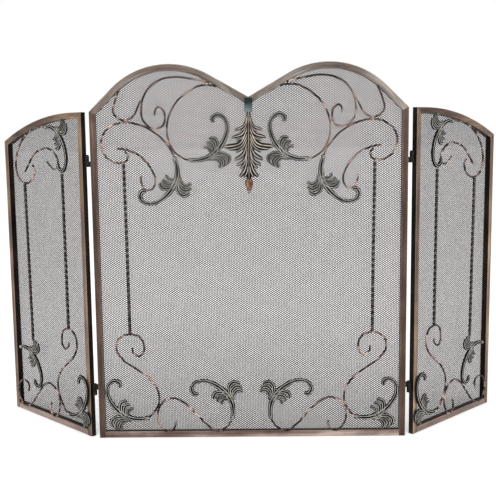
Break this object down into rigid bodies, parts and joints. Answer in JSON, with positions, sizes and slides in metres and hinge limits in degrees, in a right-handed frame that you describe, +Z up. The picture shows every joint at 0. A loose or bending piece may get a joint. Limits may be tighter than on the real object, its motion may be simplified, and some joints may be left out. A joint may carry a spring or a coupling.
{
  "type": "fireplace screen",
  "caption": "Three-panel folding fireplace screen with an arched centre, wire mesh and applied scrollwork; the side panels swing on hinges.",
  "frame": {"origin": "middle of the underside of the centre panel's bottom rail, on the floor, halfway through the bar", "axes": "+X along the centre panel to the right as seen from the room, +Y towards the hearth behind the screen, +Z up"},
  "size_m": [1.182, 0.2572, 0.8255],
  "materials": {
    "frame_bars": "brushed antique copper and bronze over dark steel",
    "scroll_rods": "dark bronze with copper highlights",
    "castings": "near-black cast iron with a green-grey patina",
    "twisted_bars": "black iron, semi-gloss",
    "wire_mesh": "dull grey woven steel wire",
    "mesh_fixings": "blackened steel strips and rivets",
    "collar": "blue-grey patina",
    "bud": "rubbed copper",
    "hinges": "black steel"
  },
  "bodies": {
    "centre_panel": {"centre_left_stile": "frame_bars", "centre_right_stile": "frame_bars", "centre_bottom_rail": "frame_bars", "centre_left_arch": "frame_bars", "centre_right_arch": "frame_bars", "centre_mesh": "wire_mesh", "centre_clamp_strips": "mesh_fixings", "centre_rivets": "mesh_fixings", "shoulder_hooks": "scroll_rods", "shoulder_scrolls": "scroll_rods", "crest_scrolls": "scroll_rods", "heart_scrolls": "scroll_rods", "inner_hooks": "scroll_rods", "lower_scrolls": "scroll_rods", "base_scrolls": "scroll_rods", "centre_twisted_bars": "twisted_bars", "crest_fronds": "castings", "shoulder_fronds": "castings", "corner_fronds": "castings", "base_fronds": "castings", "pendant_collar": "collar", "pendant_leaf": "castings", "pendant_bud": "bud", "left_fixed_knuckles": "hinges", "right_fixed_knuckles": "hinges", "left_hinge_pins": "hinges", "right_hinge_pins": "hinges"},
    "left_panel": {"left_hinge_stile": "frame_bars", "left_far_stile": "frame_bars", "left_bottom_rail": "frame_bars", "left_crown": "frame_bars", "left_mesh": "wire_mesh", "left_clamp_strips": "mesh_fixings", "left_rivets": "mesh_fixings", "left_outer_scroll": "scroll_rods", "left_inner_scroll": "scroll_rods", "left_lower_scroll": "scroll_rods", "left_base_scroll": "scroll_rods", "left_twisted_bars": "twisted_bars", "left_crown_frond": "castings", "left_far_frond": "castings", "left_hinge_frond": "castings", "left_moving_knuckles": "hinges"},
    "right_panel": {"right_hinge_stile": "frame_bars", "right_far_stile": "frame_bars", "right_bottom_rail": "frame_bars", "right_crown": "frame_bars", "right_mesh": "wire_mesh", "right_clamp_strips": "mesh_fixings", "right_rivets": "mesh_fixings", "right_outer_scroll": "scroll_rods", "right_inner_scroll": "scroll_rods", "right_lower_scroll": "scroll_rods", "right_base_scroll": "scroll_rods", "right_twisted_bars": "twisted_bars", "right_crown_frond": "castings", "right_far_frond": "castings", "right_hinge_frond": "castings", "right_moving_knuckles": "hinges"}
  },
  "joints": [
    {"name": "left_fold", "type": "hinge", "parent": "centre_panel", "child": "left_panel", "pos_m": [-0.3513, 0.0012, 0], "axis": [0, 0, -1], "range_deg": [-110, 55]},
    {"name": "right_fold", "type": "hinge", "parent": "centre_panel", "child": "right_panel", "pos_m": [0.3513, 0.0012, 0], "axis": [0, 0, 1], "range_deg": [-110, 55]}
  ]
}
